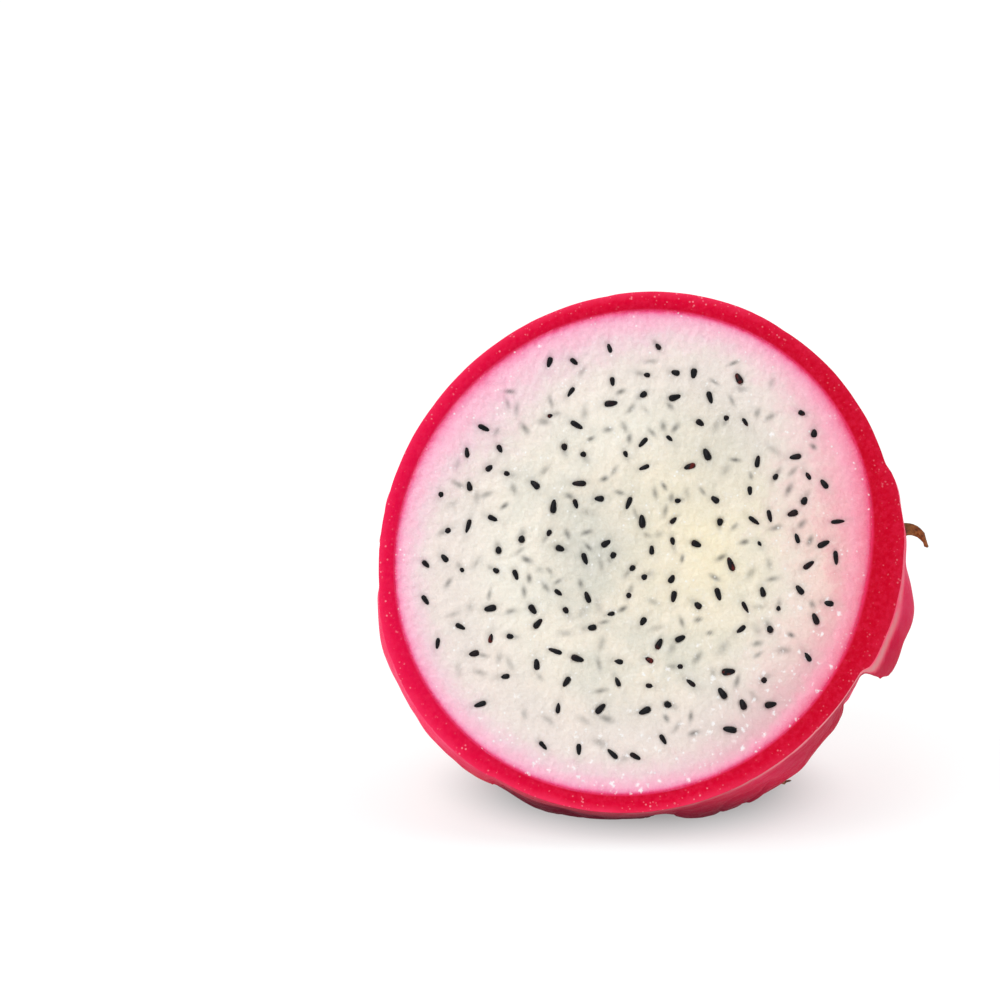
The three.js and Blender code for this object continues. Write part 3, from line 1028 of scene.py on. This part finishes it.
def disc_share(a, b):
    """A square's point as a disc's: (share of the way to the edge, angle). Even cells, no pole."""
    big = np.where(np.abs(a) >= np.abs(b), a, b)
    safe = np.where(big == 0, 1, big)
    quarter = math.pi / 4
    about = np.where(np.abs(a) >= np.abs(b), quarter * b / safe, math.pi / 2 - quarter * a / safe)
    return np.abs(big), about + np.where(big < 0, math.pi, 0)


def close_flesh(bm, form):
    """Lays the grid in the cut face and runs its edge back to the flesh's far end."""
    front = bm.verts.layers.float.new("front")
    for v in bm.verts:
        rho, about = disc_share(v.co.x, v.co.y)
        r = float(rho * (form.flesh_radius(about) + FLESH_OVERLAP))
        v.co = (r * math.cos(about), 0, r * math.sin(about))
        v[front] = 1.0
    run_back(bm, [e for e in bm.edges if e.is_boundary], form, FLESH_OVERLAP, front, 0.0)


def shape_face(mesh, form):
    """Domes and grains the cut face, sinks the seeds' pockets, and paints what flesh_look() reads.

    depth: the way in from the edge, in widths of the blush; salmon: a kind of the blush; dull: painted shade
    on the blush at the lower right
    lower, outer, warm, cool, pale, dusky: parts of the face; veil: dim seeds under the surface
    """
    co = points_of(mesh)
    face = attribute_of(mesh, "front") > 0.5
    x, z = co[face, 0], co[face, 2]
    about, r = np.arctan2(z, x), np.hypot(x, z)
    edge = form.flesh_radius(about)
    rho = r / edge
    open_seeds, sunken = scatter_seeds(form)
    grain = lumps(co[face], GRAIN[0], 3)
    swell = lumps(co[face], SWELL[0], 2, 3.0)
    pocket, veil = np.zeros(len(x)), np.zeros(len(x))
    for seed in open_seeds:
        near = seed.nearness(x, z, 0.2 * math.sin(seed.lean))
        pocket = np.maximum(pocket, (1 - ease(near, 0.75, 1.6)) * (1 - seed.sink / (0.45 * MM)))
        veil = np.maximum(veil, 0.22 * np.exp(-((near / 1.8) ** 2)))
        dipped = seed.nearness(x, z, -0.45 * math.sin(seed.lean))
        veil = np.maximum(veil, 0.75 * math.sin(seed.lean) * np.exp(-((dipped / 1.05) ** 2)))
    chance = random.Random(SEED_OF_CHANCE + 1)
    for seed in sunken:
        depth = chance.uniform(0.0, 1.0)
        near = seed.nearness(x, z) / mix(0.75, 1.0, chance.random())
        dark, blur = mix(0.95, 0.3, depth ** 0.8), mix(0.85, 1.35, depth)
        veil = np.maximum(veil, dark * np.exp(-((near / blur) ** 2)))
    out = flesh_surface(rho) + GRAIN[1] * grain + SWELL[1] * swell - POCKET_DEPTH * pocket
    co[face, 1] = -out
    set_points(mesh, co)
    whole = np.zeros(len(co))

    def paint(name, values):
        whole[face] = values
        set_attribute(mesh, name, whole)

    def patch(across, up, radius):
        return np.exp(-(np.hypot(x - across, z - up) / radius) ** 2)

    ring = ease(rho, 0.3, 0.5) * (1 - ease(rho, 0.64, 0.84))
    left, top = (side_share(about, *side) for side in PALE_SIDES)
    paint("depth", (edge - r) / blush_width(about))
    paint("salmon", side_share(about, *SALMON_SIDE) * ease(r, 8 * MM, 30 * MM))
    paint("lower", ease(0.5 * x - z, 8 * MM, 32 * MM))
    # painted shade at the lower right, near the edge
    paint("dull", side_share(about, *SHADE_SIDE) * ease(r, 26 * MM, 36 * MM))
    paint("outer", ease(rho, 0.5, 0.85))
    paint("warm", patch(*WARM_PATCH))
    paint("cool", patch(*COOL_PATCH))
    paint("pale", ring * (left + 0.9 * top))
    paint("dusky", ring * side_share(about, *DUSKY_SIDE))
    paint("veil", veil)
    mesh.attributes.remove(mesh.attributes["front"])


def blush_width(about):
    """How far the rind's pink runs into the flesh, by angle."""
    return BLUSH * (1 + sum(more * side_share(about, at, spread) for at, spread, more in BLUSHES))


def flesh_look(colours):
    """Wet translucent white: cloudy, grainy, with painted glints, pink where it meets the rind, and with
    painted shade on that pink at the lower right.
    """
    look = Look("wet flesh")
    clouds = look.noise(9 * MM, 4, 0.62)
    streaks = look.noise(1.6 * MM, 5, 0.7)
    white = look.blend(look.fit(clouds, 0.36, 0.64), CLOUDY_WHITE, colours.flesh)
    warm = look.times(look.fit(look.noise(12 * MM, 3, 0.6), 0.3, 0.6, 0.5, 1.0), "warm")
    white = look.blend(warm, white, colours.flesh_warm)
    for name, tint, most in TINTS:
        white = look.blend(name, white, tint, most)
    white = look.blend(look.fit(streaks, 0.5, 0.75), white, STREAKY_WHITE, 0.4)
    wobble = look.plus(look.noise(2.4 * MM, 4, 0.65), -0.5)
    spread = look.plus("depth", look.times(wobble, look.plus("depth", 0.15)))
    inwards = look.times(spread, 0.12)
    pink = look.ramp(inwards, [
        (0.0, (0.83, 0.01, 0.12)), (0.018, (0.90, 0.07, 0.25)), (0.065, (0.93, 0.30, 0.49)),
        (0.14, tuple(colours.flesh_pink)), (0.37, (0.87, 0.615, 0.675)), (0.7, (0.845, 0.695, 0.68)),
        (1.0, (0.845, 0.75, 0.69)),
    ])
    salmon = look.ramp(inwards, [
        (0.0, (0.84, 0.03, 0.12)), (0.012, (0.88, 0.13, 0.26)), (0.04, (0.88, 0.24, 0.34)),
        (0.12, tuple(colours.flesh_salmon)), (0.23, (0.87, 0.45, 0.47)), (0.40, (0.89, 0.64, 0.58)),
        (1.0, (0.90, 0.78, 0.66)),
    ])
    pink = look.blend("salmon", pink, salmon)
    white = look.blend("outer", white, OUTER_WHITE, 0.7)
    colour = look.blend(look.fit(spread, 2.4, 8.0), pink, white)
    # Painted shade: the pink at the lower right edge is darkened and greyed
    dull = look.times("dull", look.fit(spread, 0.6, 2.0, 0.0, 0.5))
    colour = look.blend(dull, colour, SHADED_PINK)
    shade = look.blend(look.fit(streaks, 0.3, 0.7), VEIL_DARK, VEIL_LIGHT)
    colour = look.blend("veil", colour, shade)
    glints = look.fit(look.cells(0.9 * MM), 0.10, 0.30, 1.0, 0.0)
    some = look.fit(look.noise(3.2 * MM, 3, 0.7), 0.54, 0.62)
    colour = look.blend(look.times(glints, some), colour, GLINT, 0.7)
    # Painted glints: larger white highlights of wet drops, most at the lower right
    shaken = look.swing(look.noise(0.6 * MM, 2, 0.6), 0.9)
    drop_glints = look.fit(look.plus(look.cells(1.6 * MM), shaken), 0.10, 0.34, 1.0, 0.0)
    where = look.plus(look.noise(2.8 * MM, 3, 0.7), look.times("lower", 0.14))
    drop_glints = look.times(drop_glints, look.fit(where, 0.635, 0.72))
    colour = look.blend(drop_glints, colour, DROP_GLINT, 0.75)
    fine = look.bump(look.noise(0.45 * MM, 3, 0.6), 0.08 * MM)
    grain = look.bump(look.cells(1.15 * MM), 0.18 * MM, fine)
    wet = look.bump(streaks, 0.3 * MM, grain)
    return look.finish(
        base_color=colour, roughness=look.fit(streaks, 0.3, 0.7, 0.2, 0.38), normal=wet,
        subsurface_weight=0.35, subsurface_radius=(1.0, 0.9, 0.8), subsurface_scale=1.4 * MM,
        coat_weight=0.3, coat_roughness=0.1,
    )


# Seeds -----------------------------------------------------------------------------------------------

SEED_TAPER = 0.24  # how much wider it is at its blunt end and narrower at its point
SEED_FLAT = 0.85  # its thickness as a share of its width


class MakeSeeds(bpy.types.Operator):
    """Model the seeds that lie open in the cut"""

    bl_idname = "dragon_fruit.seeds"
    bl_label = "Seeds"

    def execute(self, context):
        form = Form(context.scene.fruit_sizes)
        open_seeds, _ = scatter_seeds(form)
        bm = bmesh.new()
        brown = bm.verts.layers.float.new("brown")
        for seed in open_seeds:
            add_seed(bm, brown, seed, form)
        bm.normal_update()
        bmesh.ops.recalc_face_normals(bm, faces=bm.faces)
        mesh = mesh_of(bm, "seeds")
        piece(mesh, "fruit_seeds", (seed_look(context.scene.fruit_colours),), "seed", "flesh")
        return {"FINISHED"}


def add_seed(bm, brown, seed, form):
    """A drop: round at one end, narrower at the other, lying in its pocket with the narrow end dipped."""
    made = bmesh.ops.create_uvsphere(bm, u_segments=8, v_segments=7, radius=0.5)["verts"]
    r = math.hypot(seed.x, seed.z)
    rho = r / float(form.flesh_radius(math.atan2(seed.z, seed.x)))
    along = Vector((math.cos(seed.turn), 0, math.sin(seed.turn)))
    out = Vector((0, -1, 0))
    beside = along.cross(out)
    tilted = along * math.cos(seed.lean) + out * math.sin(seed.lean)
    up = out * math.cos(seed.lean) - along * math.sin(seed.lean)
    dip = seed.length * math.sin(seed.lean)
    centre = Vector((seed.x, 0, seed.z)) + out * (flesh_surface(rho) - SEED_SITS - seed.sink - 0.3 * dip)
    for v in made:
        t = v.co.z * 2
        taper = math.sqrt(1 + 0.8 * t * t) * (1 + SEED_TAPER * t)
        v.co = (centre + tilted * t * seed.length / 2 + beside * v.co.x * seed.width * taper
                + up * v.co.y * seed.width * SEED_FLAT * taper)
        v[brown] = seed.brown


def seed_look(colours):
    """Black and smooth, red brown in part on a few."""
    look = Look("seed coat")
    worn = look.times("brown", look.fit(look.noise(1.1 * MM, 2), 0.48, 0.64))
    colour = look.blend(worn, colours.seed, colours.seed_brown)
    return look.finish(base_color=colour, roughness=0.3, specular_ior_level=0.12)


# Stage -----------------------------------------------------------------------------------------------

CAMERA = {"azimuth": 4.0, "elevation": 10.0, "distance": 0.422, "lens": 90.0, "sensor": 36.0}
PICTURE = 1000  # the picture's side, in pixels
FACE_AT = (636, 548)  # where the middle of the cut face falls in it
FLOOR_RADIUS = 2.0
FLOOR_BEND = 0.35
WALL_HEIGHT = 0.55
FLOOR_STEPS = 64
FLOOR_GLOW = 0.69
GLOW_FROM = (4 * MM, 40 * MM)  # it starts at this distance from the spot under the fruit
UNDER_FRUIT = (0.0, 10 * MM, 0.0)
SHADED_FLOOR = (0.20, 0.20, 0.20)
SKY = 0.35
SUNS = (  # name, direction it comes from, how wide it looks, strength
    ("key", (-0.55, -0.75, 0.95), math.radians(50), 1.3),
    ("fill", (0.9, -0.6, 0.5), math.radians(60), 0.2),
    ("top", (0.1, 0.35, 1.1), math.radians(70), 1.3),
)


class MakeStage(bpy.types.Operator):
    """Set up the pale floor, the soft lights and the camera"""

    bl_idname = "dragon_fruit.stage"
    bl_label = "Floor, lights and camera"

    def execute(self, context):
        add_floor(context.scene.fruit_colours)
        add_lights()
        add_camera()
        return {"FINISHED"}


def add_floor(colours):
    """A round floor that bends up into a wall, so that it is the same behind every view. It glows, but not
    under the fruit, where its glow fades and its colour darkens to grey: a painted shadow under the real soft
    one."""
    profile = [(0, 0, 0), (0.5, 0, 0), (FLOOR_RADIUS, 0, 0)]
    for i in range(1, 11):
        angle = math.radians(9 * i)
        out, up = FLOOR_BEND * math.sin(angle), FLOOR_BEND * (1 - math.cos(angle))
        profile.append((FLOOR_RADIUS + out, 0, up))
    profile.append((FLOOR_RADIUS + FLOOR_BEND, 0, WALL_HEIGHT))
    mesh = mesh_of(spun(profile, (0, 0, 1), FLOOR_STEPS), "floor")
    mesh.shade_smooth()
    look = Look("pale floor")
    ends = {0: look.place((1, 1, 0)), 1: UNDER_FRUIT}
    away = look.node("ShaderNodeVectorMath", "Value", ends, operation="DISTANCE")
    glow = look.fit(away, *GLOW_FROM)
    # Painted shadow: under the fruit the floor's glow fades and its colour darkens to grey
    material = look.finish(
        base_color=look.blend(glow, SHADED_FLOOR, colours.floor), roughness=0.9, specular_ior_level=0.0,
        emission_color=(1.0, 1.0, 1.0), emission_strength=look.times(glow, FLOOR_GLOW),
    )
    material.cycles.emission_sampling = "NONE"  # so wide a glow is met often enough without aiming at it
    mesh.materials.append(material)
    add_object("pale_floor", mesh)


def add_lights():
    """A white sky and three wide suns."""
    world = bpy.data.worlds.new("soft daylight")
    world.use_nodes = True
    tree = world.node_tree
    sky = tree.nodes["Background"]
    sky.inputs["Color"].default_value = (1.0, 1.0, 1.0, 1.0)
    path, strength = tree.nodes.new("ShaderNodeLightPath"), tree.nodes.new("ShaderNodeMapRange")
    strength.inputs["To Min"].default_value = SKY
    strength.inputs["To Max"].default_value = 1.0  # seen over the wall, it is as white as the floor
    tree.links.new(path.outputs["Is Camera Ray"], strength.inputs["Value"])
    tree.links.new(strength.outputs["Result"], sky.inputs["Strength"])
    bpy.context.scene.world = world
    for name, source, width, power in SUNS:
        lamp = bpy.data.lights.new(name, "SUN")
        lamp.angle, lamp.energy = width, power
        light = add_object(name, lamp)
        light.location = source
        light.rotation_euler = Vector(source).to_track_quat("Z", "Y").to_euler()


def add_camera():
    """A long lens that looks slightly down and from the right, with the cut face where FACE_AT says."""
    azimuth, elevation = math.radians(CAMERA["azimuth"]), math.radians(CAMERA["elevation"])
    level = math.cos(elevation)
    back = Vector((math.sin(azimuth) * level, -math.cos(azimuth) * level, math.sin(elevation)))
    turn = (-back).to_track_quat("-Z", "Y")
    right, up = turn @ Vector((1, 0, 0)), turn @ Vector((0, 1, 0))
    pixel = CAMERA["sensor"] / CAMERA["lens"] / PICTURE * CAMERA["distance"]
    aside, down = ((at - PICTURE / 2) * pixel for at in FACE_AT)
    aim = fruit_to_row().translation - right * aside + up * down
    data = bpy.data.cameras.new("camera")
    data.lens = CAMERA["lens"]
    data.sensor_width = CAMERA["sensor"]
    data.clip_start = 0.01
    camera = add_object("camera", data)
    camera.location = aim + back * CAMERA["distance"]
    camera.rotation_euler = turn.to_euler()
    bpy.context.scene.camera = camera
    bpy.context.scene.view_settings.view_transform = "Standard"


# Sidebar panel and registration ----------------------------------------------------------------------

OPERATORS = (MakeRind, MakeDriedTips, MakeFlesh, MakeSeeds, MakeStage)


class FruitPanel(bpy.types.Panel):
    """The sizes, the colours and the steps, in the 3D view's sidebar."""

    bl_idname = "VIEW3D_PT_dragon_fruit"
    bl_label = "Dragon fruit half"
    bl_space_type = "VIEW_3D"
    bl_region_type = "UI"
    bl_category = "Dragon fruit"

    def draw(self, context):
        for settings in (context.scene.fruit_sizes, context.scene.fruit_colours):
            column = self.layout.column(align=True)
            for name in settings.__annotations__:
                column.prop(settings, name)
        for operator in OPERATORS:
            self.layout.operator(operator.bl_idname)


CLASSES = (FruitSizes, FruitColours, *OPERATORS, FruitPanel)


def register():
    for cls in CLASSES:
        bpy.utils.register_class(cls)
    bpy.types.Scene.fruit_sizes = PointerProperty(type=FruitSizes)
    bpy.types.Scene.fruit_colours = PointerProperty(type=FruitColours)


def unregister():
    del bpy.types.Scene.fruit_colours
    del bpy.types.Scene.fruit_sizes
    for cls in reversed(CLASSES):
        bpy.utils.unregister_class(cls)


def main():
    register()
    bpy.ops.dragon_fruit.rind()
    bpy.ops.dragon_fruit.dried_tips()
    bpy.ops.dragon_fruit.flesh()
    bpy.ops.dragon_fruit.seeds()
    bpy.ops.dragon_fruit.stage()


if __name__ == "__main__":
    main()
